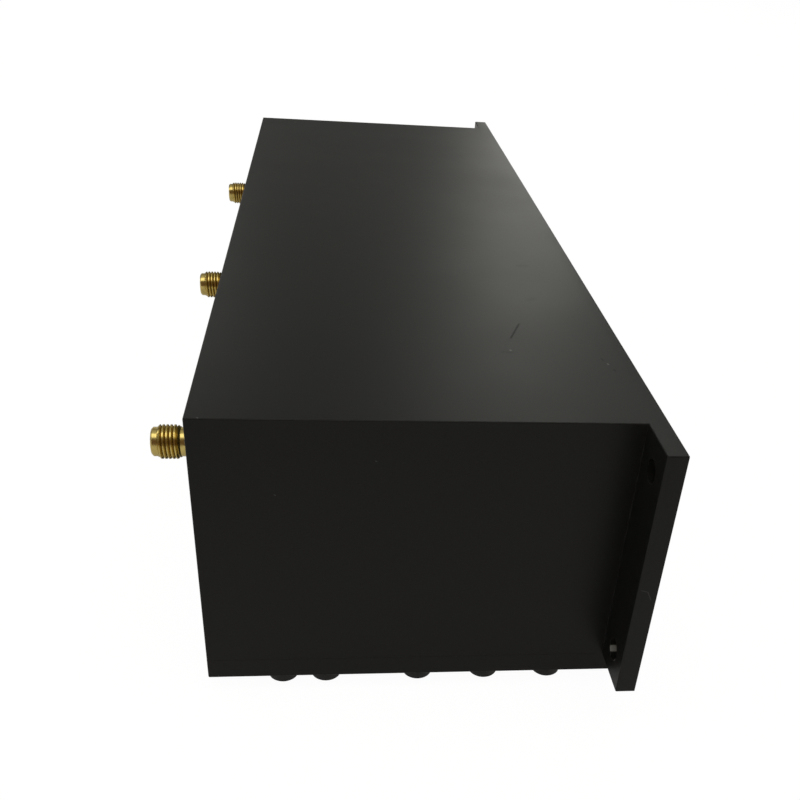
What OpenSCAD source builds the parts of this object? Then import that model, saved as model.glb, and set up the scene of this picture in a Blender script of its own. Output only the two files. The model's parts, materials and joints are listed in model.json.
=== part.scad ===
// Radio duplexer: a milled box of resonant cavities with a side mounting flange, three coaxial
// jacks and a tuning screw for each cavity. It lies on its cover, as it does on a table.
// Frame: +Z up, +X from the jacks to the flange, +Y along the length. The origin is on the floor,
// under the middle of the overall box.

/* [Housing] */
// Width of the box, from the jack face to the flange
body_w = 80; // [76:1:100]
// Length of the box between its end faces
body_l = 236; // [215:1:270]
// Height of the milled housing without its cover
housing_h = 53.5; // [51:0.5:70]
// Thickness of the outer walls
wall_t = 8; // [7:0.5:9]
// Thickness of the closed side
roof_t = 7; // [6.5:0.5:9]
// Thickness of the ribs between cavities
rib_t = 4; // [3:0.5:5]
// Radius of the milled upright corners in a cavity
corner_r = 3; // [1.5:0.5:4]
// Radius of the pillar where ribs cross, which takes a cover screw
pillar_r = 4; // [3:0.25:5]
// Width of the window between two coupled cavities
window_w = 14; // [8:0.5:16]
// Height of that window, from the cover up
window_h = 36; // [20:1:40]

/* [Flange] */
// Thickness of the mounting flange
flange_t = 4; // [3:0.5:6]
// Length of the flange past each end face
ear_l = 11.5; // [9:0.5:16]
// Diameter of a mounting hole
mount_hole_d = 4.5; // [3.5:0.1:5.5]
// Distance of a mounting hole from the flange's long edges
mount_hole_inset = 6.25; // [5:0.25:12]

/* [Cover] */
// Thickness of the cover plate
cover_t = 4.5; // [3:0.5:6]
// Place of the first screw along an end, from the jack face
end_screw_1 = 14.7; // [10:0.1:16]
// Place of the second screw along an end
end_screw_2 = 23.3; // [23:0.1:30]
// Place of the third screw along an end
end_screw_3 = 42; // [38:0.1:46]
// Place of the fourth screw along an end
end_screw_4 = 55.8; // [54:0.1:60]
// Place of the fifth screw along an end
end_screw_5 = 69.2; // [68:0.1:74]
// Distance of the outer screws from the cover's edges
cover_screw_inset = 3.1; // [2.8:0.1:4.5]
// Distance from an end face to the first screw along a long side
side_screw_start = 16; // [12:1:24]
// Number of screws along a long side
side_screw_count = 7; // [5:1:9]
// Thread diameter of a cover screw
cover_screw_d = 3; // [2.5:0.5:3]
// Diameter of its pan head
cover_head_d = 6; // [5.5:0.25:7]
// Height of its pan head
cover_head_h = 2.9; // [2:0.1:3.2]
// Radius of the dome of its pan head
cover_head_dome_r = 4; // [3.6:0.1:6]
// Width of the cross recess in its head
cross_w = 0.8; // [0.5:0.1:1.2]
// Length of each bar of the cross recess
cross_l = 3.2; // [2.4:0.1:4]
// Depth of the cross recess
cross_depth = 1.4; // [0.8:0.1:1.8]
// Length of thread in the housing
cover_screw_grip = 8; // [6:0.5:12]

/* [Resonators] */
// Diameter of a resonator post
post_d = 12; // [11:0.5:14]
// Height of a post below the closed side
post_h = 41; // [37:0.5:42]
// Bore of a post, open towards the cover
post_bore_d = 8; // [7.5:0.25:9]
// Thickness of the solid end of a post
post_base_t = 7; // [6.5:0.5:9]
// Diameter of the disc round a post's open end
disc_d = 18; // [14:0.5:20]
// Thickness of that disc
disc_t = 2; // [1.5:0.25:4]
// Thread diameter of the screw that holds a post
post_screw_d = 4; // [3:0.5:4]
// Diameter of that screw's head
post_head_d = 7; // [6:0.25:7.25]
// Height of that screw's head
post_head_h = 4; // [3:0.25:5]
// Width of the hexagon socket in that head, over its corners
post_socket_d = 3.5; // [2:0.1:4.5]
// Depth of that socket
post_socket_depth = 2; // [1:0.1:2.6]
// Length of that screw's thread in the closed side
post_screw_grip = 5.5; // [4:0.25:6]

/* [Tuning screws] */
// Thread diameter of a tuning screw
tuner_d = 5; // [4:0.5:5.5]
// How far a tuning screw reaches into its post
tuner_reach = 3; // [2.6:0.1:6]
// How far a tuning screw's slotted end lies inside its nut
tuner_sink = 0.3; // [0:0.1:0.8]
// Width of the screwdriver slot
slot_w = 0.9; // [0.6:0.1:1.2]
// Depth of the screwdriver slot
slot_depth = 1.3; // [0.8:0.1:2]
// Width of the lock nut across its flats
nut_flats = 8; // [7.5:0.5:9]
// Height of the lock nut
nut_h = 2.7; // [2.7:0.1:4]
// Height of the chamfer round the lock nut's outer face
nut_chamfer = 0.45; // [0.2:0.05:0.8]
// Diameter of the washer under the lock nut
washer_d = 10; // [9:0.5:12]
// Thickness of that washer
washer_t = 0.9; // [0.5:0.1:1.2]

/* [Jacks] */
// Distance of the jacks' axes below the top
jack_drop = 12; // [10.5:0.5:14]
// Distance from the start of its cavity to the transmitter jack
tx_jack_inset = 5.7; // [4:0.1:20]
// Distance from the start of its cavity to the antenna jack
antenna_jack_inset = 12.6; // [4:0.1:26]
// Distance from the start of its cavity to the receiver jack
rx_jack_inset = 21.9; // [6:0.1:26]
// Diameter of the coupling thread
jack_thread_d = 6.35; // [6:0.05:7]
// Pitch of the coupling thread
jack_thread_pitch = 0.7; // [0.5:0.05:1]
// Depth of the coupling thread
jack_thread_depth = 0.385; // [0.25:0.005:0.4]
// Length of the flat on each crest of the coupling thread
jack_crest_l = 0.14; // [0.05:0.01:0.3]
// Number of turns of the coupling thread
jack_thread_turns = 6; // [3:1:7]
// Diameter of the smooth nose and of the neck behind the thread
jack_neck_d = 5.4; // [5:0.05:5.6]
// Length of the smooth nose
jack_nose_l = 1.1; // [0.8:0.1:3]
// Size of the chamfer round the nose
jack_nose_chamfer = 0.3; // [0.1:0.05:0.35]
// Length of the neck between the shoulder and the thread
jack_neck_l = 1.2; // [0.3:0.1:2]
// Diameter of the shoulder against the housing
jack_shoulder_d = 6.9; // [6.7:0.1:9]
// Length of that shoulder
jack_shoulder_l = 1.5; // [1:0.1:4]
// Diameter of the stem in the housing wall
jack_stem_d = 5.6; // [5.5:0.1:6.4]
// Diameter of the open mouth
jack_mouth_d = 4.6; // [4.3:0.05:4.8]
// Depth of the open mouth
jack_mouth_depth = 1.9; // [1:0.1:2.5]
// Diameter of the insulator
insulator_d = 4.1; // [3.5:0.1:4.2]
// Diameter of the centre contact
contact_d = 1.27; // [1:0.01:1.5]
// Bore of the centre contact's socket
contact_bore_d = 0.94; // [0.6:0.01:0.95]
// Depth of the centre contact's socket
contact_bore_depth = 3; // [2:0.1:4]
// How far the centre contact reaches into its cavity
contact_reach = 6; // [5:0.1:7]

/* [Taps] */
// Diameter of a tap's cap on the centre contact
tap_cap_d = 2.6; // [2.4:0.1:3.4]
// Length of that cap on the contact
tap_cap_grip = 3; // [2:0.1:3.5]
// Thickness of the cap's closed end
tap_cap_end = 1.6; // [1.4:0.1:2.5]
// Diameter of a tap rod
tap_rod_d = 1.6; // [1:0.1:1.8]
// Depth of the rod's hole in the post
tap_hole_depth = 2.5; // [1:0.1:3]

/* [Fits] */
// Radial play of a thread or a plug in its hole
play = 0.05; // [0.03:0.01:0.08]
// Extra radius of a clearance hole
clearance = 0.2; // [0.15:0.05:0.3]

/* [Hidden] */
$fn = 64;
// How far a cut runs past the face that it opens
over = 1;

// Signal path: each cavity's name, its row (0 at the jacks, 1 at the flange) and its column
cavities = [
    ["tx_1", 0, 0], ["tx_2", 1, 0], ["tx_3", 1, 1], ["tx_4", 0, 1],
    ["common", 0, 2], ["trap", 1, 2],
    ["rx_1", 0, 3], ["rx_2", 1, 3], ["rx_3", 1, 4], ["rx_4", 1, 5], ["rx_5", 0, 5], ["rx_6", 0, 4]
];
columns = 6;
rows = 2;
// Columns with a window between their two cavities
cross_windows = [0, 1, 2, 3, 5];
// Ribs between columns with a window: the row and the column before the rib
along_windows = [[1, 0], [0, 1], [0, 2], [1, 3], [1, 4], [0, 4]];
// Each jack's name, the number of the cavity that it feeds and its place in that cavity
jacks = [
    ["tx_jack", 0, tx_jack_inset],
    ["antenna_jack", 4, antenna_jack_inset],
    ["rx_jack", 11, rx_jack_inset]
];

// Overall box, and the corner at the jack face, the near end and the cover's underside
jack_out = jack_shoulder_l + jack_neck_l + jack_thread_turns * jack_thread_pitch + jack_nose_l;
stand_h = nut_h + washer_t + 2 * play;
total_w = body_w + flange_t;
left_x = (jack_out - total_w) / 2;
near_y = -body_l / 2;

// Cavities
box_h = cover_t + housing_h;
roof_z = box_h - roof_t;
cavity_w = (total_w - 2 * wall_t - (rows - 1) * rib_t) / rows;
cavity_l = (body_l - 2 * wall_t - (columns - 1) * rib_t) / columns;
function cavity_x(row) = wall_t + row * (cavity_w + rib_t);
function cavity_y(column) = wall_t + column * (cavity_l + rib_t);
function centre_x(row) = cavity_x(row) + cavity_w / 2;
function centre_y(column) = cavity_y(column) + cavity_l / 2;
function tuner_at(i) = [centre_x(cavities[i][1]), centre_y(cavities[i][2])];
pillar_x = cavity_x(1) - rib_t / 2;
function pillar_y(column) = cavity_y(column + 1) - rib_t / 2;

// Cover screws: along both ends, along both long sides and in the pillars
end_screws = [end_screw_1, end_screw_2, end_screw_3, end_screw_4, end_screw_5];
side_step = (body_l - 2 * side_screw_start) / (side_screw_count - 1);
cover_screw_places = concat(
    [for (x = end_screws, y = [cover_screw_inset, body_l - cover_screw_inset]) [x, y]],
    [for (x = [cover_screw_inset, total_w - cover_screw_inset], i = [0 : side_screw_count - 1])
        [x, side_screw_start + i * side_step]],
    [for (column = [0 : columns - 2]) [pillar_x, pillar_y(column)]]
);

// Resonators and tuning screws
post_end_z = roof_z - post_h;
post_seat_z = roof_z - post_base_t;
tuner_low_z = -stand_h + tuner_sink;
tuner_high_z = post_end_z + tuner_reach;

// Jacks and taps
jack_z = box_h - jack_drop;
jack_root_d = jack_thread_d - 2 * jack_thread_depth;
thread_start = jack_shoulder_l + jack_neck_l;
thread_end = thread_start + jack_thread_turns * jack_thread_pitch;
mouth_start = jack_out - jack_mouth_depth;
function jack_y(jack) = cavity_y(cavities[jack[1]][2]) + jack[2];
tap_x = wall_t + contact_reach + tap_cap_end / 2;
function tap_run(jack) = tuner_at(jack[1]) - [tap_x, jack_y(jack)];
function tap_angle(jack) = atan2(tap_run(jack)[1], tap_run(jack)[0]);
function tapped_by(i) = [for (jack = jacks) if (jack[1] == i) jack];

// Moves what is drawn from the box's own corner into the part's frame
module in_box() {
    translate([left_x, near_y, stand_h]) children();
}

// Cuboid with rounded upright edges
module pocket(w, l, h) {
    translate([corner_r, 0, 0]) cube([w - 2 * corner_r, l, h]);
    translate([0, corner_r, 0]) cube([w, l - 2 * corner_r, h]);
    for (x = [corner_r, w - corner_r], y = [corner_r, l - corner_r])
        translate([x, y, 0]) cylinder(r = corner_r, h = h);
}

// Upright cylinder between two heights
module round_bar(d, z_low, z_high) {
    translate([0, 0, z_low]) cylinder(d = d, h = z_high - z_low);
}

module cavity_spaces() {
    difference() {
        for (row = [0 : rows - 1], column = [0 : columns - 1])
            translate([cavity_x(row), cavity_y(column), cover_t - over])
                pocket(cavity_w, cavity_l, roof_z - cover_t + over);
        for (column = [0 : columns - 2])
            translate([pillar_x, pillar_y(column), 0])
                round_bar(2 * pillar_r, cover_t - 2 * over, box_h);
    }
}

module coupling_windows() {
    for (column = cross_windows)
        translate([pillar_x - rib_t / 2 - over, centre_y(column) - window_w / 2, cover_t - over])
            cube([rib_t + 2 * over, window_w, window_h + over]);
    for (place = along_windows)
        translate([centre_x(place[0]) - window_w / 2, pillar_y(place[1]), cover_t - over])
            translate([0, -rib_t / 2 - over, 0]) cube([window_w, rib_t + 2 * over, window_h + over]);
}

module mounting_holes() {
    heights = [cover_t + mount_hole_inset, box_h - mount_hole_inset];
    for (y = [-ear_l / 2, body_l + ear_l / 2], z = heights)
        translate([body_w - over, y, z]) rotate([0, 90, 0])
            cylinder(d = mount_hole_d, h = flange_t + 2 * over);
}

module housing() {
    color("#1d1e1d") in_box() difference() {
        union() {
            translate([0, 0, cover_t]) cube([total_w, body_l, housing_h]);
            translate([body_w, -ear_l, cover_t]) cube([flange_t, body_l + 2 * ear_l, housing_h]);
        }
        cavity_spaces();
        coupling_windows();
        mounting_holes();
        for (place = cover_screw_places)
            translate([place[0], place[1], cover_t])
                round_bar(cover_screw_d + 2 * play, -over, cover_screw_grip + play);
        for (i = [0 : len(cavities) - 1])
            translate(tuner_at(i))
                round_bar(post_screw_d + 2 * play, roof_z - over, roof_z + post_screw_grip + play);
        for (jack = jacks)
            translate([-over, jack_y(jack), jack_z]) rotate([0, 90, 0])
                cylinder(d = jack_stem_d + 2 * play, h = wall_t + 2 * over);
    }
}

module cover() {
    color("#1f201f") in_box() difference() {
        cube([total_w, body_l, cover_t]);
        for (place = cover_screw_places)
            translate(place) round_bar(cover_screw_d + 2 * clearance, -over, cover_t + over);
        for (i = [0 : len(cavities) - 1])
            translate(tuner_at(i)) round_bar(tuner_d + 2 * play, -over, cover_t + over);
    }
}

// Screw with a domed pan head below the cover and a cross recess in it
module pan_screw() {
    difference() {
        union() {
            intersection() {
                round_bar(cover_head_d, -cover_head_h, 0);
                translate([0, 0, cover_head_dome_r - cover_head_h]) sphere(r = cover_head_dome_r);
            }
            cylinder(d = cover_screw_d, h = cover_t + cover_screw_grip);
        }
        for (turn = [0, 90])
            rotate(turn) translate([-cross_l / 2, -cross_w / 2, -cover_head_h - over])
                cube([cross_l, cross_w, cross_depth + over]);
    }
}

module cover_screws() {
    color("#151515") in_box()
        for (place = cover_screw_places) translate(place) pan_screw();
}

// Solid of one resonator: a hollow post with a disc round its open end
module resonator(i) {
    color("#c8c9c4") in_box() translate(tuner_at(i)) difference() {
        union() {
            round_bar(post_d, post_end_z, roof_z);
            round_bar(disc_d, post_end_z, post_end_z + disc_t);
        }
        round_bar(post_bore_d, post_end_z - over, post_seat_z);
        round_bar(post_screw_d + 2 * clearance, post_seat_z - over, roof_z + over);
        for (jack = tapped_by(i))
            translate([0, 0, jack_z]) rotate([0, 90, tap_angle(jack) + 180])
                translate([0, 0, post_d / 2 - tap_hole_depth])
                    cylinder(d = tap_rod_d + 2 * play, h = tap_hole_depth + over);
    }
}

module resonator_screws() {
    color("#8e9093") in_box()
        for (i = [0 : len(cavities) - 1])
            translate(tuner_at(i)) difference() {
                union() {
                    round_bar(post_head_d, post_seat_z - post_head_h, post_seat_z);
                    round_bar(post_screw_d, post_seat_z, roof_z + post_screw_grip);
                }
                translate([0, 0, post_seat_z - post_head_h - over])
                    cylinder(d = post_socket_d, h = post_socket_depth + over, $fn = 6);
            }
}

module tuning_screw(i) {
    color("#b99748") in_box() translate(tuner_at(i)) difference() {
        round_bar(tuner_d, tuner_low_z, tuner_high_z);
        translate([-tuner_d, -slot_w / 2, tuner_low_z - over])
            cube([2 * tuner_d, slot_w, slot_depth + over]);
    }
}

module tuning_washer(i) {
    color("#b9bbb9") in_box() translate(tuner_at(i)) difference() {
        round_bar(washer_d, -washer_t - play, -play);
        round_bar(tuner_d + 2 * play, -washer_t - over, over);
    }
}

module lock_nuts() {
    corner_d = nut_flats / cos(30);
    face_d = nut_flats - 2 * play;
    slope_h = nut_chamfer * (corner_d + over - face_d) / (corner_d - face_d);
    color("#b3924a") in_box()
        for (i = [0 : len(cavities) - 1])
            translate(concat(tuner_at(i), -stand_h)) difference() {
                intersection() {
                    cylinder(d = corner_d, h = nut_h, $fn = 6);
                    union() {
                        cylinder(d1 = face_d, d2 = corner_d + over, h = slope_h);
                        translate([0, 0, slope_h]) cylinder(d = corner_d + over, h = nut_h);
                    }
                }
                round_bar(tuner_d + 2 * play, -over, nut_h + over);
            }
}

// Puts a jack's axis along the outward direction, with zero at the housing's face
module at_jack(jack) {
    in_box() translate([0, jack_y(jack), jack_z]) rotate([0, -90, 0]) children();
}

// Outline of one thread turn from its root to its crest and back
function thread_turn(z) = [
    [jack_root_d / 2, z],
    [jack_thread_d / 2, z + (jack_thread_pitch - jack_crest_l) / 2],
    [jack_thread_d / 2, z + (jack_thread_pitch + jack_crest_l) / 2]
];

module jack_body(jack) {
    turns = [for (i = [0 : jack_thread_turns - 1]) thread_start + i * jack_thread_pitch];
    threads = [for (z = turns, point = thread_turn(z)) point];
    bore_r = insulator_d / 2 + play;
    outline = concat(
        [[bore_r, -wall_t], [jack_stem_d / 2, -wall_t], [jack_stem_d / 2, 0], [jack_shoulder_d / 2, 0]],
        [[jack_shoulder_d / 2, jack_shoulder_l], [jack_neck_d / 2, jack_shoulder_l]],
        [[jack_neck_d / 2, thread_start]],
        threads,
        [[jack_root_d / 2, thread_end], [jack_neck_d / 2, thread_end]],
        [[jack_neck_d / 2, jack_out - jack_nose_chamfer], [jack_neck_d / 2 - jack_nose_chamfer, jack_out]],
        [[jack_mouth_d / 2, jack_out], [jack_mouth_d / 2, mouth_start], [bore_r, mouth_start]]
    );
    color("#c79a3c") at_jack(jack) rotate_extrude() polygon(outline);
}

module jack_insulator(jack) {
    color("#f1efe8") at_jack(jack) difference() {
        round_bar(insulator_d, -wall_t, mouth_start);
        round_bar(contact_d + 2 * play, -wall_t - over, mouth_start + over);
    }
}

module jack_contact(jack) {
    color("#d4a94a") at_jack(jack) difference() {
        round_bar(contact_d, -wall_t - contact_reach, mouth_start);
        round_bar(contact_bore_d, mouth_start - contact_bore_depth, mouth_start + over);
    }
}

// Cap on the end of the centre contact, with the rod that runs to the post
module jack_tap(jack) {
    rod_l = norm(tap_run(jack)) - post_d / 2 + tap_hole_depth - play;
    cap_end = -wall_t - contact_reach;
    color("#c3a35c") {
        at_jack(jack) difference() {
            round_bar(tap_cap_d, cap_end - tap_cap_end, cap_end + tap_cap_grip);
            round_bar(contact_d + 2 * play, cap_end - play, cap_end + tap_cap_grip + over);
        }
        in_box() translate([tap_x, jack_y(jack), jack_z]) rotate([0, 90, tap_angle(jack)])
            cylinder(d = tap_rod_d, h = rod_l);
    }
}

housing();
cover();
cover_screws();
lock_nuts();
resonator_screws();
for (jack = jacks) {
    jack_body(jack);
    jack_insulator(jack);
    jack_contact(jack);
    jack_tap(jack);
}
for (i = [0 : len(cavities) - 1]) {
    resonator(i);
    tuning_screw(i);
    tuning_washer(i);
}
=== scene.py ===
# %% [markdown]
# # A radio duplexer, dressed for its picture
# The real thing is a black milled box of resonant cavities. A plate closes its underside, a
# flange runs along one long side, and three gold coaxial jacks stick out of the other.
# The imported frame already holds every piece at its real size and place, in metres.
# This lesson leaves those pieces where they are and gives them edges, threads and finishes.

# %% Load the frame
import json
import math
import bmesh
import bpy
from mathutils import Matrix, Vector


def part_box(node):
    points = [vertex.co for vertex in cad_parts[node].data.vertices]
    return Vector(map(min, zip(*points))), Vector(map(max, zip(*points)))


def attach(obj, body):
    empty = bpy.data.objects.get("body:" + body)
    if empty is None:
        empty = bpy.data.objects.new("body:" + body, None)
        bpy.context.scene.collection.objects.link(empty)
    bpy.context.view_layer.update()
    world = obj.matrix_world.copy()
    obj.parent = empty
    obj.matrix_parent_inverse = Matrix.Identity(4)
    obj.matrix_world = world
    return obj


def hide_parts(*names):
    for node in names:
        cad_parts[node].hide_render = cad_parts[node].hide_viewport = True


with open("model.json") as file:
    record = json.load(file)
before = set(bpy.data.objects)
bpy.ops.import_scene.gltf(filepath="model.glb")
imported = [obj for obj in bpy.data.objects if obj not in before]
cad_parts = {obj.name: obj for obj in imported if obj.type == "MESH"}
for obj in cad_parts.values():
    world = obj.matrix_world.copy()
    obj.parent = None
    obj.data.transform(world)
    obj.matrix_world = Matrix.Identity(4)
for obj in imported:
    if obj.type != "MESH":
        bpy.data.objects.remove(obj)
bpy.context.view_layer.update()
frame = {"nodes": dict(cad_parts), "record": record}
nodes = frame["nodes"]
MM = 0.001

# %% [markdown]
# ## The camera
# The picture was taken from close by, above the near end and a little to the right of the jacks.
# The camera's place and tilt come from matching the box's corners to the picture. Close range makes
# the far end look much smaller, so a real lens and a real distance matter more than the angle.
# The small shift stands for the picture's crop.

# %% Camera
camera_place = Vector((-13.35, -263.5, 138.33)) * MM
camera_turn_degrees = (55.679, -3.909, -6.057)
camera_lens = 43.19
camera_sensor = 36.0
crop_shift = (-0.067, 0.1682)

camera_data = bpy.data.cameras.new("picture_camera")
camera_data.lens = camera_lens
camera_data.sensor_width = camera_sensor
camera_data.shift_x, camera_data.shift_y = crop_shift
camera = bpy.data.objects.new("picture_camera", camera_data)
camera.location = camera_place
camera.rotation_euler = [math.radians(angle) for angle in camera_turn_degrees]
bpy.context.scene.collection.objects.link(camera)
bpy.context.scene.camera = camera
bpy.context.scene.view_settings.view_transform = "Standard"
print("camera stands", round(camera_place.length / MM), "mm from the middle of the box")

# %% [markdown]
# ## Small tools for shader trees
# Shader trees are wired node by node, and that gets long. A few helpers keep it short. One adds
# a node with its settings and one feeds a socket with either a link or a plain number. The others
# do a step of arithmetic, map one range to another and mix two colours.

# %% Wiring helpers
def add_node(tree, kind, **settings):
    node = tree.nodes.new(kind)
    for setting, value in settings.items():
        setattr(node, setting, value)
    return node


def feed(tree, socket, value):
    if isinstance(value, bpy.types.NodeSocket):
        tree.links.new(value, socket)
    else:
        socket.default_value = value


def arithmetic(tree, operation, *values, clamp=False):
    node = add_node(tree, "ShaderNodeMath", operation=operation, use_clamp=clamp)
    for socket, value in zip(node.inputs, values):
        feed(tree, socket, value)
    return node.outputs[0]


def vector_step(tree, operation, *values):
    node = add_node(tree, "ShaderNodeVectorMath", operation=operation)
    for socket, value in zip(node.inputs, values):
        feed(tree, socket, value)
    return node


def ramp(tree, value, low, high, out_low=0.0, out_high=1.0):
    node = add_node(tree, "ShaderNodeMapRange", interpolation_type="SMOOTHSTEP")
    for name, number in zip(("From Min", "From Max", "To Min", "To Max"), (low, high, out_low, out_high)):
        node.inputs[name].default_value = number
    feed(tree, node.inputs["Value"], value)
    return node.outputs["Result"]


def tint(tree, factor, low, high):
    node = add_node(tree, "ShaderNodeMix", data_type="RGBA")
    feed(tree, node.inputs["Factor"], factor)
    feed(tree, node.inputs[6], low if isinstance(low, bpy.types.NodeSocket) else (*low, 1.0))
    feed(tree, node.inputs[7], high if isinstance(high, bpy.types.NodeSocket) else (*high, 1.0))
    return node.outputs[2]


print("wiring helpers are ready")

# %% [markdown]
# ## The floor
# A pale floor carries the part and its soft shadow. A plain white floor under soft light comes out
# light grey, so rays from the camera mostly see a white glow in it, and mirror rays see a little of
# it. The shadow still shows through the rest. From below the floor is clear, so that a camera
# down there sees the tuning screws.

# %% Floor
floor_size = 16.0
floor_white = (0.92, 0.92, 0.92, 1.0)
camera_glow_share = 0.93
mirror_glow_share = 0.2
floor_glow = 1.045

floor_mesh = bpy.data.meshes.new("floor")
half_floor = floor_size / 2
floor_signs = ((-1, -1), (1, -1), (1, 1), (-1, 1))
floor_corners = [(x * half_floor, y * half_floor, 0.0) for x, y in floor_signs]
floor_mesh.from_pydata(floor_corners, [], [(0, 1, 2, 3)])
floor = bpy.data.objects.new("floor", floor_mesh)
bpy.context.scene.collection.objects.link(floor)

floor_paint = bpy.data.materials.new("white floor")
floor_paint.use_nodes = True
tree = floor_paint.node_tree
tree.nodes.clear()
path = add_node(tree, "ShaderNodeLightPath")
seen = arithmetic(tree, "MULTIPLY", path.outputs["Is Camera Ray"], camera_glow_share)
mirrored = arithmetic(tree, "MAXIMUM", path.outputs["Is Glossy Ray"], path.outputs["Is Transmission Ray"])
mirrored = arithmetic(tree, "MULTIPLY", mirrored, mirror_glow_share)
matt = add_node(tree, "ShaderNodeBsdfDiffuse")
matt.inputs["Color"].default_value = floor_white
glow = add_node(tree, "ShaderNodeEmission")
glow.inputs["Strength"].default_value = floor_glow
blend = add_node(tree, "ShaderNodeMixShader")
feed(tree, blend.inputs[0], arithmetic(tree, "MAXIMUM", seen, mirrored))
feed(tree, blend.inputs[1], matt.outputs[0])
feed(tree, blend.inputs[2], glow.outputs[0])
one_sided = add_node(tree, "ShaderNodeMixShader")
feed(tree, one_sided.inputs[0], add_node(tree, "ShaderNodeNewGeometry").outputs["Backfacing"])
feed(tree, one_sided.inputs[1], blend.outputs[0])
feed(tree, one_sided.inputs[2], add_node(tree, "ShaderNodeBsdfTransparent").outputs[0])
surface = add_node(tree, "ShaderNodeOutputMaterial")
feed(tree, surface.inputs["Surface"], one_sided.outputs[0])
floor_mesh.materials.append(floor_paint)
print("floor glows by", camera_glow_share, "for the camera")

# %% [markdown]
# ## The studio
# A satin black box shows mostly what it mirrors, so the room matters as much as the paint.
# The room is brightest overhead and falls off towards the horizon, which keeps the top of the box dark
# on the left. Behind the camera a brown wall reaches up to a good height: that is the dark band across
# the gold jacks. The camera itself sees plain white.

# %% World
horizon_light = 0.18
zenith_light = 0.55
bright_from = 0.5
room_tint = (1.0, 0.995, 0.93)
wall_brown = (0.15, 0.1, 0.076)
wall_reach = (-0.74, -0.5)

world = bpy.data.worlds.new("studio")
world.use_nodes = True
bpy.context.scene.world = world
tree = world.node_tree
tree.nodes.clear()
where = add_node(tree, "ShaderNodeTexCoord")
split = add_node(tree, "ShaderNodeSeparateXYZ")
feed(tree, split.inputs[0], where.outputs["Generated"])
room = vector_step(tree, "SCALE", room_tint)
room_light = ramp(tree, split.outputs["Z"], bright_from, 1.0, horizon_light, zenith_light)
feed(tree, room.inputs["Scale"], room_light)
in_front = ramp(tree, split.outputs["Y"], *wall_reach)
colour = tint(tree, in_front, wall_brown, room.outputs[0])
path = add_node(tree, "ShaderNodeLightPath")
sky = add_node(tree, "ShaderNodeBackground")
feed(tree, sky.inputs["Color"], tint(tree, path.outputs["Is Camera Ray"], colour, (1.0, 1.0, 1.0)))
out = add_node(tree, "ShaderNodeOutputWorld")
feed(tree, out.inputs["Surface"], sky.outputs[0])
print("room light runs from", horizon_light, "at the horizon to", zenith_light, "overhead")

# %% [markdown]
# ### Soft panels
# Five soft panels add what the room alone doesn't give. A tall one stands behind the part on the
# right, and its mirror image is the pale band that runs along the top. Two more widen that band to
# either side. One hangs overhead, and one on the left lights the jacks. Each row gives a panel's
# azimuth from the far end, its elevation, its distance and size in metres, and its radiance.

# %% Soft panels
def soft_panel(name, place, width, height, radiance):
    light = bpy.data.lights.new(name, "AREA")
    light.shape = "RECTANGLE"
    light.size = width
    light.size_y = height
    light.energy = radiance * math.pi * width * height
    light.color = room_tint
    panel = bpy.data.objects.new(name, light)
    panel.location = place
    panel.rotation_euler = (-Vector(place)).to_track_quat("-Z", "Y").to_euler()
    bpy.context.scene.collection.objects.link(panel)


def direction(azimuth_degrees, elevation_degrees, distance):
    azimuth, elevation = math.radians(azimuth_degrees), math.radians(elevation_degrees)
    flat = distance * math.cos(elevation)
    return Vector((flat * math.sin(azimuth), flat * math.cos(azimuth), distance * math.sin(elevation)))


soft_panels = [
    ("overhead panel", (180, 73, 1.3), (1.1, 0.7), 1.5),
    ("band panel", (13.5, 23, 1.5), (0.22, 0.8), 1.35),
    ("corner panel", (28, 36, 1.5), (0.3, 0.3), 1.3),
    ("faint band panel", (-15, 18, 1.5), (0.3, 0.6), 0.65),
    ("side panel", (-75, 25, 1.4), (0.6, 0.6), 1.6),
]
for name, stand, size, radiance in soft_panels:
    soft_panel(name, direction(*stand), *size, radiance)
print(len(soft_panels), "soft panels light the part")

# %% [markdown]
# ## Effects that several finishes share
# Real surfaces have grain, hairlines, worn edges and grime in their corners. Each of these is one
# node group with its own inputs, so that a finish only says how much of it it wants. Sizes
# are in millimetres, because that is how a maker would measure them.

# %% Group helper
def start_group(name, inputs, outputs):
    group = bpy.data.node_groups.new(name, "ShaderNodeTree")
    for label, kind, value in inputs:
        socket = group.interface.new_socket(label, in_out="INPUT", socket_type=kind)
        socket.default_value = value
    for label in outputs:
        group.interface.new_socket(label, in_out="OUTPUT", socket_type="NodeSocketFloat")
    return group, add_node(group, "NodeGroupInput").outputs, add_node(group, "NodeGroupOutput").inputs


def use_group(tree, group, **values):
    node = add_node(tree, "ShaderNodeGroup", node_tree=group)
    for label, value in values.items():
        feed(tree, node.inputs[label.capitalize()], value)
    return node.outputs


def surface_mm(tree):
    where = add_node(tree, "ShaderNodeTexCoord")
    scale = vector_step(tree, "SCALE", where.outputs["Object"])
    scale.inputs["Scale"].default_value = 1 / MM
    return scale.outputs[0]


NUMBER, ARROW = "NodeSocketFloat", "NodeSocketVector"
print("groups take their places on the surface in millimetres")

# %% [markdown]
# ### Mottle
# Cloudy variation of one size: small for the grain of a blasted or anodised surface, large for uneven
# sheen. Noise in the piece's own coordinates needs no unwrapping and never stretches.

# %% Mottle group
mottle_detail = 3.0
mottle_spread = (0.25, 0.75)

mottle, given, result = start_group("mottle", [("Size", NUMBER, 1.0)], ["Value"])
noise = add_node(mottle, "ShaderNodeTexNoise")
noise.inputs["Detail"].default_value = mottle_detail
feed(mottle, noise.inputs["Vector"], surface_mm(mottle))
feed(mottle, noise.inputs["Scale"], arithmetic(mottle, "DIVIDE", 1.0, given["Size"]))
feed(mottle, result["Value"], ramp(mottle, noise.outputs["Fac"], *mottle_spread))
print("mottle spreads the noise over", mottle_spread)

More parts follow.
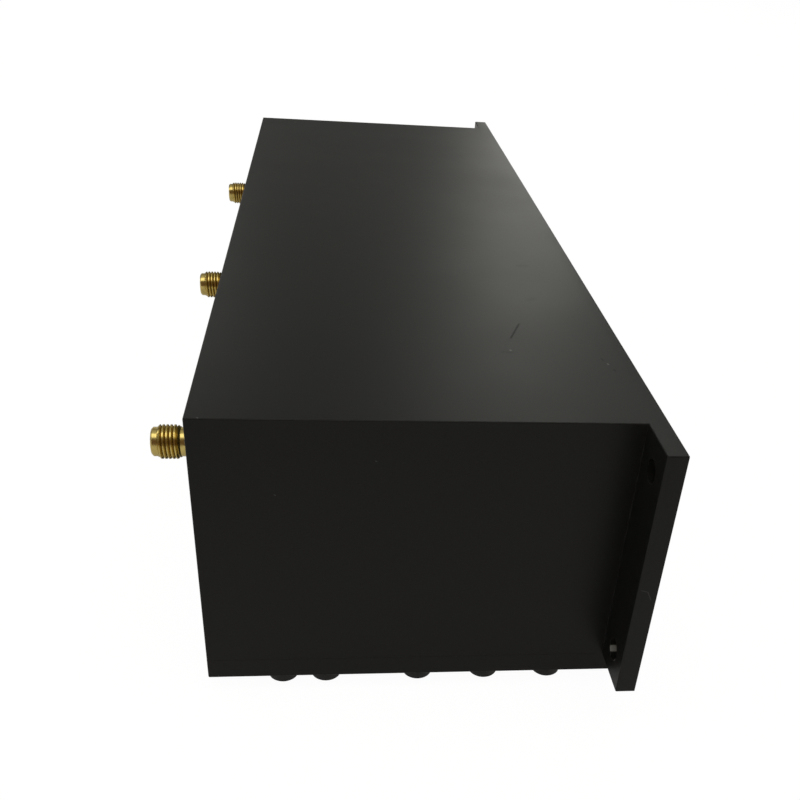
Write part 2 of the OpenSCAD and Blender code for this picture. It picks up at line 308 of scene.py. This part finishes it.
# %% [markdown]
# ### Hairlines
# Faint straight marks from handling. Noise that is stretched a lot along one direction and cut off
# near its peaks leaves thin broken lines. Two directions crossed look like years of use.

# %% Hairline group
hairline_turns_degrees = (28, -63)
hairline_cut = (0.70, 0.76)

hairlines, given, result = start_group(
    "hairlines", [("Length", NUMBER, 12.0), ("Width", NUMBER, 0.08)], ["Mask"])
masks = []
for turn in hairline_turns_degrees:
    spin = add_node(hairlines, "ShaderNodeVectorRotate", rotation_type="EULER_XYZ")
    feed(hairlines, spin.inputs["Vector"], surface_mm(hairlines))
    spin.inputs["Rotation"].default_value = [math.radians(turn)] * 3
    stretch = add_node(hairlines, "ShaderNodeCombineXYZ")
    feed(hairlines, stretch.inputs["X"], given["Length"])
    feed(hairlines, stretch.inputs["Y"], given["Width"])
    feed(hairlines, stretch.inputs["Z"], given["Width"])
    noise = add_node(hairlines, "ShaderNodeTexNoise")
    noise.inputs["Scale"].default_value = 1.0
    noise.inputs["Detail"].default_value = 1.0
    drawn_out = vector_step(hairlines, "DIVIDE", spin.outputs[0], stretch.outputs[0])
    feed(hairlines, noise.inputs["Vector"], drawn_out.outputs[0])
    masks.append(ramp(hairlines, noise.outputs["Fac"], *hairline_cut))
feed(hairlines, result["Mask"], arithmetic(hairlines, "MAXIMUM", *masks))
print("hairlines run at", hairline_turns_degrees, "degrees")

# %% [markdown]
# ### One scratch
# A scratch that the picture shows has a place of its own. The mask is the distance from a point on
# the surface to a straight segment, turned into a soft stroke.

# %% Scratch group
stroke_core = 0.3

scratch, given, result = start_group(
    "scratch", [("Start", ARROW, (0, 0, 0)), ("End", ARROW, (1, 0, 0)), ("Width", NUMBER, 0.3)], ["Mask"])
spot = surface_mm(scratch)
run = vector_step(scratch, "SUBTRACT", given["End"], given["Start"]).outputs[0]
offset = vector_step(scratch, "SUBTRACT", spot, given["Start"]).outputs[0]
along = vector_step(scratch, "DOT_PRODUCT", offset, run).outputs["Value"]
length = vector_step(scratch, "DOT_PRODUCT", run, run).outputs["Value"]
share = arithmetic(scratch, "DIVIDE", along, length, clamp=True)
foot = vector_step(scratch, "SCALE", run)
feed(scratch, foot.inputs["Scale"], share)
gap = vector_step(scratch, "DISTANCE", offset, foot.outputs[0]).outputs["Value"]
stroke = arithmetic(scratch, "DIVIDE", gap, given["Width"])
feed(scratch, result["Mask"], ramp(scratch, stroke, stroke_core, 1.0, 1.0, 0.0))
print("a scratch is a soft stroke between two points")

# %% [markdown]
# ### Edge wear
# Paint rubs off where hands and benches touch it: on the edges. A bevelled copy of the normal differs
# from the plain one only near an edge, so the difference between the two is the mask. Some noise breaks
# it up.

# %% Edge wear group
worn_agreement = (0.80, 0.97)
worn_patches = (0.35, 0.75)

edge_wear, given, result = start_group(
    "edge wear", [("Radius", NUMBER, 0.6), ("Patch", NUMBER, 2.0)], ["Mask"])
rounded = add_node(edge_wear, "ShaderNodeBevel", samples=6)
feed(edge_wear, rounded.inputs["Radius"], arithmetic(edge_wear, "MULTIPLY", given["Radius"], MM))
facing = add_node(edge_wear, "ShaderNodeNewGeometry")
agreement = vector_step(edge_wear, "DOT_PRODUCT", rounded.outputs[0], facing.outputs["True Normal"])
patches = use_group(edge_wear, mottle, size=given["Patch"])["Value"]
edge = ramp(edge_wear, agreement.outputs["Value"], *worn_agreement, 1.0, 0.0)
worn = arithmetic(edge_wear, "MULTIPLY", edge, ramp(edge_wear, patches, *worn_patches))
feed(edge_wear, result["Mask"], worn)
print("edge wear follows the bevelled normal")

# %% [markdown]
# ### Shade and grime
# Ambient occlusion over a short distance finds the pockets that a cloth can't reach, such as thread
# roots and screw slots. Shade falls there, and dirt and old flux stay there. Finishes that use this
# mask darken their colour in those pockets: painted shade that also stands for dirt.

# %% Shade and grime group
pocket_shade = (0.35, 0.85)

grime, given, result = start_group("grime", [("Reach", NUMBER, 0.5)], ["Mask"])
shade = add_node(grime, "ShaderNodeAmbientOcclusion", samples=8)
feed(grime, shade.inputs["Distance"], arithmetic(grime, "MULTIPLY", given["Reach"], MM))
feed(grime, result["Mask"], ramp(grime, shade.outputs["AO"], *pocket_shade, 1.0, 0.0))
# The mask becomes painted shade, with some dirt, in the colours that use it
print("grime sits in pockets")

# %% [markdown]
# ### Lathe marks
# A turned piece carries fine rings from the tool. They change only along the axis of the piece, so
# the noise has one dimension and is fed with the place along that axis.

# %% Lathe group
ring_spread = (0.3, 0.7)

lathe, given, result = start_group(
    "lathe marks", [("Along", NUMBER, 0.0), ("Feed", NUMBER, 0.1)], ["Value"])
noise = add_node(lathe, "ShaderNodeTexNoise", noise_dimensions="1D")
noise.inputs["Scale"].default_value = 1.0
noise.inputs["Detail"].default_value = 2.0
feed(lathe, noise.inputs["W"], arithmetic(lathe, "DIVIDE", given["Along"], given["Feed"]))
feed(lathe, result["Value"], ramp(lathe, noise.outputs["Fac"], *ring_spread))
print("lathe marks follow the tool's feed")

# %% [markdown]
# ## Finishes
# Each finish is a Principled shader whose colour, roughness and normal come from the shared groups.
# Numbers that are the same all over are set on the shader itself.

# %% Finish helpers
def start_finish(name):
    finish = bpy.data.materials.new(name)
    finish.use_nodes = True
    tree = finish.node_tree
    return finish, tree, tree.nodes["Principled BSDF"].inputs


def relief(tree, height, depth_mm, strength):
    node = add_node(tree, "ShaderNodeBump")
    node.inputs["Strength"].default_value = strength
    node.inputs["Distance"].default_value = depth_mm * MM
    feed(tree, node.inputs["Height"], height)
    return node.outputs["Normal"]


def axis_place(tree, axis):
    split = add_node(tree, "ShaderNodeSeparateXYZ")
    feed(tree, split.inputs[0], surface_mm(tree))
    return split.outputs[axis]


print("finish helpers are ready")

# %% [markdown]
# ### Marks on the coat
# The picture shows a dark scratch on the top with a pale nick below it, some faint rubs and specks,
# and a glint low in the lower hole of the flange, which is a painted highlight. Marks like these
# could be painted by hand on an unwrapped surface. Here each is a stroke between two points in
# millimetres, which needs no unwrapping. The glint is a pale stripe on the wall of the hole, found by
# its distance from the axis of the hole.

# %% Marks on the coat
# Painted highlight in the lower flange holes: its height below the axis of the hole, its fade, and a
# margin past the wall
glint_height, glint_fade, hole_wall = -1.35, (0.35, 0.6), 0.1
housing_low, housing_high = (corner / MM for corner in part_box("housing"))
cover_low, cover_high = (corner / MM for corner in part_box("cover"))
seam_z, top_z = housing_low.z, housing_high.z
end_y, ear_y = cover_low.y, housing_low.y

# Each stroke has its start, its end, its width and its strength
dark_scratches = [
    ((26.0, -73.6, top_z), (23.1, -81.2, top_z), 0.32, 0.36),
    ((20.2, -88.2, top_z), (22.2, -88.5, top_z), 0.50, 0.18),
    ((31.8, -36.6, top_z), (33.8, -36.4, top_z), 1.00, 0.12),
    ((30.3, -59.6, top_z), (32.0, -58.4, top_z), 0.80, 0.12),
    ((39.9, -90.6, top_z), (40.1, -91.4, top_z), 0.25, 0.50),
    ((41.2, -95.6, top_z), (41.4, -96.4, top_z), 0.25, 0.50),
]
pale_nicks = [
    ((22.0, -87.3, top_z), (22.1, -87.5, top_z), 0.28, 0.70),
    ((40.6, -92.9, top_z), (40.7, -93.4, top_z), 0.25, 0.70),
    ((-35.6, end_y + 0.4, top_z), (-35.5, end_y + 0.3, top_z), 0.22, 0.50),
    ((42.7, ear_y, 33.5), (44.0, ear_y, 33.1), 0.12, 0.25),
    ((44.0, ear_y, 33.1), (44.9, ear_y, 31.3), 0.12, 0.25),
    ((-5.8, end_y, 53.8), (-5.6, end_y, 53.7), 0.15, 0.25),
    ((-23.5, end_y, 46.8), (-23.3, end_y, 46.7), 0.15, 0.25),
]


def marks(tree, strokes):
    total = 0.0
    for start, end, width, strength in strokes:
        mask = use_group(tree, scratch, start=start, end=end, width=width)["Mask"]
        total = arithmetic(tree, "MAXIMUM", total, arithmetic(tree, "MULTIPLY", mask, strength))
    return total


# A painted highlight: the wall of each lower flange hole gets a pale grey stripe where a glint would be
def painted_hole_glint(tree):
    holes = next(mount for mount in frame["record"]["mounts"] if mount["name"] == "flange_holes")
    half_y, half_z = (holes["dims"][key] / 2 for key in ("spacing_x_mm", "spacing_y_mm"))
    low_z = holes["pos_m"][2] / MM - half_z
    across = arithmetic(tree, "SUBTRACT", arithmetic(tree, "ABSOLUTE", axis_place(tree, "Y")), half_y)
    up = arithmetic(tree, "SUBTRACT", axis_place(tree, "Z"), low_z)
    squares = [arithmetic(tree, "POWER", offset, 2.0) for offset in (across, up)]
    radius = arithmetic(tree, "SQRT", arithmetic(tree, "ADD", *squares))
    on_wall = arithmetic(tree, "LESS_THAN", radius, holes["dims"]["hole_r_mm"] + hole_wall)
    from_glint = arithmetic(tree, "ABSOLUTE", arithmetic(tree, "SUBTRACT", up, glint_height))
    return arithmetic(tree, "MULTIPLY", on_wall, ramp(tree, from_glint, *glint_fade, 1.0, 0.0))


print(len(dark_scratches), "dark and", len(pale_nicks), "pale marks on the coat")

# %% [markdown]
# ### Black coat
# The box is anodised or finely sprayed: nearly black, with a fine grain and a satin sheen that
# is a little uneven. It reflects weakly face on and strongly at a glance, which is why the top
# looks grey and the end nearly black. The dark marks only dull the sheen; the pale ones
# change the colour, and so does a painted highlight low in the lower flange holes. Only the housing
# has them, and the cover has the plain coat.

# %% Black coat
coat_dark, coat_light = (0.0080, 0.0080, 0.0073), (0.0116, 0.0116, 0.0106)
coat_worn = (0.035, 0.035, 0.033)
dust_pale = (0.14, 0.14, 0.13)
# Pale grey of the painted glint in the lower flange holes
hole_glint_grey = (0.32, 0.32, 0.30)
coat_specular = 0.175
coat_roughness = (0.35, 0.38)
hairline_roughness = 0.12
scratch_roughness = 0.30
grain_mm, sheen_mm = 0.16, 35.0
wear_share = 0.5
wear_clear_of_seam = (0.9, 1.4)


def black_coat(name, dark_strokes, pale_strokes):
    finish, tree, shader = start_finish(name)
    grain = use_group(tree, mottle, size=grain_mm)["Value"]
    sheen = use_group(tree, mottle, size=sheen_mm)["Value"]
    lines = use_group(tree, hairlines, length=9.0, width=0.1)["Mask"]
    wear = use_group(tree, edge_wear, radius=0.7, patch=3.0)["Mask"]
    from_seam = arithmetic(tree, "ABSOLUTE", arithmetic(tree, "SUBTRACT", axis_place(tree, "Z"), seam_z))
    wear = arithmetic(tree, "MULTIPLY", wear, ramp(tree, from_seam, *wear_clear_of_seam))
    colour = tint(tree, grain, coat_dark, coat_light)
    colour = tint(tree, arithmetic(tree, "MULTIPLY", wear, wear_share), colour, coat_worn)
    rough = ramp(tree, sheen, 0.0, 1.0, *coat_roughness)
    rough = arithmetic(tree, "ADD", rough, arithmetic(tree, "MULTIPLY", lines, hairline_roughness))
    if dark_strokes:
        dulled = arithmetic(tree, "MULTIPLY", marks(tree, dark_strokes), scratch_roughness)
        rough = arithmetic(tree, "ADD", rough, dulled)
    if pale_strokes:
        colour = tint(tree, marks(tree, pale_strokes), colour, dust_pale)
        # Painted highlight: a pale glint stripe on the wall of the lower flange holes
        colour = tint(tree, painted_hole_glint(tree), colour, hole_glint_grey)
    feed(tree, shader["Base Color"], colour)
    feed(tree, shader["Roughness"], rough)
    feed(tree, shader["Normal"], relief(tree, grain, depth_mm=0.006, strength=0.5))
    shader["Specular IOR Level"].default_value = coat_specular
    return finish


housing_coat = black_coat("black housing coat", dark_scratches, pale_nicks)
cover_coat = black_coat("black cover coat", [], [])
print("two black coats")

# %% [markdown]
# ### Black screws
# The cover's screws are blackened steel: darker and glossier than the coat, with bare metal
# where a driver has touched them.

# %% Black screws
screw_black, screw_bare = (0.010, 0.010, 0.010), (0.16, 0.16, 0.155)
screw_wear_share = 0.6
screw_roughness = (0.28, 0.42)
screw_specular = 0.3


def blackened_steel(name):
    finish, tree, shader = start_finish(name)
    grain = use_group(tree, mottle, size=0.25)["Value"]
    wear = use_group(tree, edge_wear, radius=0.25, patch=0.8)["Mask"]
    worn = arithmetic(tree, "MULTIPLY", wear, screw_wear_share)
    feed(tree, shader["Base Color"], tint(tree, worn, screw_black, screw_bare))
    feed(tree, shader["Roughness"], ramp(tree, grain, 0.0, 1.0, *screw_roughness))
    feed(tree, shader["Normal"], relief(tree, grain, depth_mm=0.004, strength=0.5))
    shader["Specular IOR Level"].default_value = screw_specular
    return finish


screw_finish = blackened_steel("blackened steel")
print("black screws")

# %% [markdown]
# ### Plated and plain metal
# The jacks are gold plated, the posts inside are silver plated, and the tuning screws and nuts are
# plain brass. One function makes them all: a metal colour clouded with a darker tarnish, the rings
# that the lathe left, and painted shade, which turns the colour to that dark tone in the pockets
# that ambient occlusion finds. After the two colours come the roughness from and to, the axis that
# the piece was turned on, the tool's feed and the depth of the pockets.

# %% Metals
cloud_mm, cloud_share = 1.4, 0.35
pocket_roughness = 0.15


def turned_metal(name, bright, tarnish_and_shade, roughness, axis, feed_mm, pocket_mm):
    finish, tree, shader = start_finish(name)
    rings = use_group(tree, lathe, along=axis_place(tree, axis), feed=feed_mm)["Value"]
    cloud = use_group(tree, mottle, size=cloud_mm)["Value"]
    shade_and_dirt_mask = use_group(tree, grime, reach=pocket_mm)["Mask"]
    colour = tint(tree, arithmetic(tree, "MULTIPLY", cloud, cloud_share), bright, tarnish_and_shade)
    # Painted shade: the colour turns to the dark tone in the pockets that ambient occlusion finds
    feed(tree, shader["Base Color"], tint(tree, shade_and_dirt_mask, colour, tarnish_and_shade))
    rough = ramp(tree, cloud, 0.0, 1.0, *roughness)
    dulled = arithmetic(tree, "MULTIPLY", shade_and_dirt_mask, pocket_roughness)
    feed(tree, shader["Roughness"], arithmetic(tree, "ADD", rough, dulled))
    feed(tree, shader["Normal"], relief(tree, rings, depth_mm=0.004, strength=0.6))
    shader["Metallic"].default_value = 1.0
    return finish


gold_jack = turned_metal(
    "gold plated jack", (0.63, 0.49, 0.165), (0.42, 0.30, 0.10), (0.20, 0.30), "X", 0.06, 0.25)
gold_contact = turned_metal(
    "gold plated contact", (0.84, 0.62, 0.25), (0.45, 0.27, 0.08), (0.18, 0.26), "X", 0.05, 0.2)
brass_tuner = turned_metal(
    "plain brass screw", (0.70, 0.52, 0.22), (0.30, 0.19, 0.07), (0.24, 0.38), "Z", 0.08, 0.4)
brass_nut = turned_metal(
    "plain brass nut", (0.68, 0.50, 0.22), (0.32, 0.21, 0.08), (0.26, 0.40), "Z", 0.10, 0.5)
brass_tap = turned_metal(
    "plain brass tap", (0.70, 0.53, 0.25), (0.36, 0.24, 0.10), (0.28, 0.40), "X", 0.10, 0.4)
silver_post = turned_metal(
    "silver plated post", (0.82, 0.82, 0.79), (0.50, 0.48, 0.42), (0.20, 0.34), "Z", 0.12, 0.6)
steel_screw = turned_metal(
    "plain steel screw", (0.55, 0.55, 0.55), (0.22, 0.22, 0.22), (0.28, 0.40), "Z", 0.10, 0.5)
steel_washer = turned_metal(
    "plain steel washer", (0.60, 0.60, 0.59), (0.26, 0.26, 0.25), (0.24, 0.38), "Z", 0.05, 0.4)
print("eight metals")

# %% [markdown]
# ### White insulator
# The ring of plastic between a jack's shell and its contact is soft, white and waxy. It is a little
# cloudy, and its corners are darkened with painted shade that also stands for handling dirt.

# %% Insulator
wax_dark, wax_light = (0.83, 0.82, 0.77), (0.90, 0.89, 0.86)
# Brownish grey of the painted shade and handling dirt in the corners
wax_dirt_and_shade, dirt_and_shade_share = (0.55, 0.52, 0.45), 0.5
wax_roughness = (0.42, 0.55)


def white_plastic(name):
    finish, tree, shader = start_finish(name)
    cloud = use_group(tree, mottle, size=0.7)["Value"]
    shade_and_dirt_mask = use_group(tree, grime, reach=0.4)["Mask"]
    colour = tint(tree, cloud, wax_dark, wax_light)
    # Painted shade, also standing for handling dirt: corners that ambient occlusion finds turn brownish
    # grey
    dirt_and_shade = arithmetic(tree, "MULTIPLY", shade_and_dirt_mask, dirt_and_shade_share)
    feed(tree, shader["Base Color"], tint(tree, dirt_and_shade, colour, wax_dirt_and_shade))
    feed(tree, shader["Roughness"], ramp(tree, cloud, 0.0, 1.0, *wax_roughness))
    feed(tree, shader["Normal"], relief(tree, cloud, depth_mm=0.01, strength=0.3))
    return finish


insulator_white = white_plastic("white insulator")
print("white insulator")

# %% [markdown]
# ## Edges of the solid pieces
# No machined edge is perfectly sharp. Each edge gets a share of its piece's radius. On the small
# turned pieces every outward corner gets all of it. On the housing and the cover the long outer
# edges do, and not the many holes. The cover lies so tight against the housing that no line shows
# there, so edges at the seam get only a small share, and so does the inner corner at each ear.

# %% Share of the radius
same_place_mm = 0.002
longest_rim_mm = 3.0
seam_share = 0.15
inner_share = 0.2
cover_end_y = cover_high.y


def points_outward(sides):
    one, other = sides
    return (other.center - one.center).dot(one.normal) < 0


def turned_share(ends, sides):
    return 1.0 if points_outward(sides) else 0.0


def outer_share(ends, sides):
    start, end = (Vector(place) for place in ends)
    middle = (start + end) / 2
    on_side = middle.x < housing_low.x + same_place_mm or middle.x > housing_high.x - same_place_mm
    on_end = abs(middle.y) > cover_end_y - same_place_mm
    on_top = middle.z > housing_high.z - same_place_mm
    if (end - start).length < longest_rim_mm or not (on_side or on_end or on_top):
        return 0.0
    under_ear = abs(middle.y) > cover_end_y + same_place_mm
    if abs(middle.z - seam_z) < same_place_mm and not under_ear:
        return seam_share
    return 1.0 if points_outward(sides) else inner_share


print("edges at the seam get", seam_share, "of the radius")

# %% [markdown]
# ### Rounding the edges
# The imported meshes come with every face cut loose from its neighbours, so a Weld joins them first.
# A Bevel then rounds only the edges that carry a weight, which is the share of the radius. All other
# corners are marked sharp, and Weighted Normals keep the big faces flat. Modifiers do all this
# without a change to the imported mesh's own points.

# %% Rounding
corner_angle = math.radians(40)
radius_steps = 2
big_faces_first = 100


def mark_edges(mesh, radius_share):
    place = [tuple(round(value / MM, 3) for value in vertex.co) for vertex in mesh.vertices]
    meeting = {}
    for face in mesh.polygons:
        for ends in face.edge_keys:
            meeting.setdefault(frozenset(place[end] for end in ends), []).append(face)
    weights = mesh.attributes.new("bevel_weight_edge", "FLOAT", "EDGE")
    for edge in mesh.edges:
        ends = frozenset(place[end] for end in edge.vertices)
        sides = meeting[ends]
        corner = len(sides) == 2 and sides[0].normal.angle(sides[1].normal) > corner_angle
        share = radius_share(ends, sides) if corner else 0.0
        weights.data[edge.index].value = share
        edge.use_edge_sharp = corner and not share


def round_edges(piece, radius_mm, radius_share):
    mark_edges(piece.data, radius_share)
    piece.data.shade_smooth()
    weld = piece.modifiers.new("join faces", "WELD")
    weld.merge_threshold = same_place_mm * MM
    bevel = piece.modifiers.new("edge radius", "BEVEL")
    bevel.width = radius_mm * MM
    bevel.segments = radius_steps
    bevel.limit_method = "WEIGHT"
    bevel.loop_slide = False
    bevel.use_clamp_overlap = radius_share is turned_share
    normals = piece.modifiers.new("flat faces", "WEIGHTED_NORMAL")
    normals.keep_sharp = True
    normals.weight = big_faces_first


print("edges that turn by more than", round(math.degrees(corner_angle)), "degrees get a radius")

# %% [markdown]
# ### Who wears what
# One table gives each kind of piece its finish, its edge radius in millimetres and the edges that get
# it. A radius of zero is for the pieces that are made again below with real threads.

# %% Finishes and radii
WARDROBE = [
    ("housing", housing_coat, 0.25, outer_share),
    ("cover", cover_coat, 0.25, outer_share),
    ("cover_screws", screw_finish, 0.1, turned_share),
    ("lock_nuts", brass_nut, 0.03, turned_share),
    ("resonator_screws", steel_screw, 0.15, turned_share),
    ("_tuning_washer", steel_washer, 0.1, turned_share),
    ("_resonator", silver_post, 0.25, turned_share),
    ("_insulator", insulator_white, 0.1, turned_share),
    ("_contact", gold_contact, 0.08, turned_share),
    ("_tap", brass_tap, 0.1, turned_share),
    ("_jack_body", gold_jack, 0, None),
    ("_tuning_screw", brass_tuner, 0, None),
]
for ending, finish, radius_mm, radius_share in WARDROBE:
    wearers = [nodes[node] for node in nodes if node.endswith(ending)]
    for piece in wearers:
        piece.data.materials.clear()
        piece.data.materials.append(finish)
        if radius_mm:
            round_edges(piece, radius_mm, radius_share)
    print(len(wearers), "of", ending.strip("_"), "in", finish.name)

# %% [markdown]
# ## Real threads
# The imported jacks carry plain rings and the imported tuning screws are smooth. A real thread is a helix,
# so these pieces are turned again. Each one is a grid of rings round an axis. In a plain stretch a ring
# stays at one place along the axis. In a threaded stretch each ring creeps by one pitch in a turn.
# At both ends the thread runs out into the core.

# %% Rings
run_in_slope = 0.55


def plain_rings(outline, facets):
    return [[point] * facets for point in outline]


def thread_rings(start, end, pitch, crest_r, root_r, crest_flat, facets):
    rise = (pitch - crest_flat) / 2
    one_turn = [(0.0, root_r), (rise, crest_r), (rise + crest_flat, crest_r)]
    rings = []
    for turn in range(-1, math.ceil((end - start) / pitch) + 2):
        for step, radius in one_turn:
            ring = []
            for facet in range(facets):
                along = start + (turn + facet / facets) * pitch + step
                lead = max(min((along - start) * run_in_slope, end - along), 0.0)
                ring.append((min(max(along, start), end), min(radius, root_r + lead)))
            rings.append(ring)
    return rings, len(one_turn)


print("a thread's ring creeps by one pitch in a turn")

# %% [markdown]
# ### From rings to a piece
# Neighbouring rings are stitched together with four-cornered faces. Where a threaded ring has gone
# once round, the seam joins it to the ring one turn further on. The finished piece then stands in for
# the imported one: it takes its place, rides on the same body and keeps the same material slot.

# %% Turned pieces
thread_corner = math.radians(30)


def stitch(build, rings, seam_shift):
    facets = len(rings[0])
    corners = []
    for ring in rings:
        corners.append([])
        for facet, (along, radius) in enumerate(ring):
            angle = 2 * math.pi * facet / facets
            corner = Vector((radius * math.cos(angle), radius * math.sin(angle), along)) * MM
            corners[-1].append(build.verts.new(corner))
    for low in range(len(rings) - 1 - seam_shift):
        for facet in range(facets):
            shift = seam_shift if facet == facets - 1 else 0
            after = (facet + 1) % facets
            build.faces.new((corners[low][facet], corners[low + shift][after],
                             corners[low + 1 + shift][after], corners[low + 1][facet]))


def turned_mesh(name, before, thread, after, facets):
    build = bmesh.new()
    threaded, points_per_turn = thread_rings(*thread, facets)
    stitch(build, plain_rings(before, facets), 0)
    stitch(build, threaded, points_per_turn)
    stitch(build, plain_rings(after, facets), 0)
    bmesh.ops.remove_doubles(build, verts=build.verts, dist=same_place_mm * MM)
    bmesh.ops.recalc_face_normals(build, faces=build.faces)
    mesh = bpy.data.meshes.new(name)
    build.to_mesh(mesh)
    build.free()
    return mesh


def stand_in(name, mesh, node, body, finish):
    for face in mesh.polygons:
        face.use_smooth = True
    mesh.set_sharp_from_angle(angle=thread_corner)
    mesh.materials.clear()
    mesh.materials.append(finish)
    piece = bpy.data.objects.new(name, mesh)
    bpy.context.scene.collection.objects.link(piece)
    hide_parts(node)
    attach(piece, body)


print("turned pieces stand along Z until they are put in place")

# %% [markdown]
# ### Jacks
# A jack's outline is written from the housing's face outwards: a stem in the wall, a shoulder, a neck,
# the coupling thread, a smooth nose with a chamfer, and the open mouth that leads to the insulator.

# %% Jacks
jack_names = ("tx_jack", "antenna_jack", "rx_jack")
jack_facets = 72
stem_l, stem_r = 8.0, 2.8
shoulder_l, shoulder_r, shoulder_break = 1.5, 3.45, 0.15
neck_l, neck_r = 1.2, 2.7
jack_pitch, jack_turns = 0.7, 6
jack_crest_r, jack_root_r, jack_crest_flat = 3.175, 2.79, 0.22
nose_l, nose_chamfer = 1.1, 0.3
mouth_r, mouth_depth, bore_r = 2.3, 1.9, 2.1

thread_start = shoulder_l + neck_l
thread_end = thread_start + jack_turns * jack_pitch
jack_end = thread_end + nose_l
behind_thread = [
    (-stem_l, bore_r), (-stem_l, stem_r), (0.0, stem_r), (0.0, shoulder_r),
    (shoulder_l - shoulder_break, shoulder_r), (shoulder_l, shoulder_r - shoulder_break),
    (shoulder_l, neck_r), (thread_start, neck_r), (thread_start, jack_root_r),
]
past_thread = [
    (thread_end, jack_root_r), (thread_end, neck_r), (jack_end - nose_chamfer, neck_r),
    (jack_end, neck_r - nose_chamfer), (jack_end, mouth_r), (jack_end - mouth_depth, mouth_r),
    (jack_end - mouth_depth, bore_r), (-stem_l, bore_r),
]
jack_thread = (thread_start, thread_end, jack_pitch, jack_crest_r, jack_root_r, jack_crest_flat)
jack_face_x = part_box("housing")[0].x
lie_outward = Matrix.Rotation(math.radians(-90), 4, "Y")
for jack in jack_names:
    low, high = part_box(jack + "_body")
    centre = Vector((jack_face_x, (low.y + high.y) / 2, (low.z + high.z) / 2))
    shell = turned_mesh(jack + "_shell", behind_thread, jack_thread, past_thread, jack_facets)
    shell.transform(Matrix.Translation(centre) @ lie_outward)
    stand_in(jack + "_shell", shell, jack + "_body", "box", gold_jack)
print("each jack stands out by", round(jack_end, 2), "mm")

# %% [markdown]
# ### Tuning screws
# A tuning screw is a headless brass screw with a fine thread and a slot for a small screwdriver. It
# is turned like a jack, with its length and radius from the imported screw.

# %% One tuning screw
tuner_facets = 40
tuner_pitch, tuner_crest_flat, tuner_thread_depth = 0.5, 0.06, 0.3
bare_tip_turns, tip_chamfer = 0.5, 0.3
tuners = [node for node in nodes if node.endswith("_tuning_screw")]
low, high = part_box(tuners[0])
tuner_l = (high.z - low.z) / MM
tuner_r = (high.x - low.x) / 2 / MM
tuner_core_r = tuner_r - tuner_thread_depth
tuner_thread_l = tuner_pitch * math.floor(tuner_l / tuner_pitch - bare_tip_turns)
tuner_thread = (0.0, tuner_thread_l, tuner_pitch, tuner_r, tuner_core_r, tuner_crest_flat)
tuner_foot = [(0.0, 0.0), (0.0, tuner_core_r)]
tuner_tip = [(tuner_thread_l, tuner_core_r), (tuner_l - tip_chamfer, tuner_core_r),
             (tuner_l, tuner_core_r - tip_chamfer), (tuner_l, 0.0)]
blank = turned_mesh("tuner_blank", tuner_foot, tuner_thread, tuner_tip, tuner_facets)
print("a tuning screw is", round(tuner_l, 2), "mm long and has", len(blank.polygons), "faces")

# %% [markdown]
# ### The screwdriver's slot
# A Boolean cuts the slot, as a saw would. The block that it cuts with is only a tool, so it is thrown
# away afterwards, and points that the cut left in one place are merged.

# %% Slot
slot_w, slot_depth, slot_reach = 0.9, 1.3, 6.0

slot_shape = bmesh.new()
bmesh.ops.create_cube(slot_shape, size=1.0)
slot_size = Vector((slot_reach, slot_w, 2 * slot_depth)) * MM
bmesh.ops.scale(slot_shape, vec=slot_size, verts=slot_shape.verts)
slot_mesh = bpy.data.meshes.new("slot_block")
slot_shape.to_mesh(slot_mesh)
slot_shape.free()
slot_block = bpy.data.objects.new("slot_block", slot_mesh)
screw_blank = bpy.data.objects.new("screw_blank", blank)
for tool in (slot_block, screw_blank):
    bpy.context.scene.collection.objects.link(tool)
slot_cut = screw_blank.modifiers.new("slot", "BOOLEAN")
slot_cut.object = slot_block
slot_cut.solver = "EXACT"
graph = bpy.context.evaluated_depsgraph_get()
slotted = bpy.data.meshes.new_from_object(screw_blank.evaluated_get(graph))
for tool in (slot_block, screw_blank):
    bpy.data.objects.remove(tool)
merge = bmesh.new()
merge.from_mesh(slotted)
bmesh.ops.remove_doubles(merge, verts=merge.verts, dist=same_place_mm * MM)
merge.to_mesh(slotted)
merge.free()
print("with its slot the screw has", len(slotted.polygons), "faces")

# %% [markdown]
# ### A screw at each place
# All the screws are alike, so each place gets a copy of the one that was cut. It stands on the foot
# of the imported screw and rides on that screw's own body, so that it turns and travels with it.

# %% Tuning screws in place
for node in tuners:
    low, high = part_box(node)
    foot = Vector(((low.x + high.x) / 2, (low.y + high.y) / 2, low.z))
    thread = slotted.copy()
    thread.transform(Matrix.Translation(foot))
    stem = node.removesuffix("_tuning_screw")
    stand_in(stem + "_threaded_tuner", thread, node, stem + "_tuner", brass_tuner)
print(len(tuners), "tuning screws are in place")
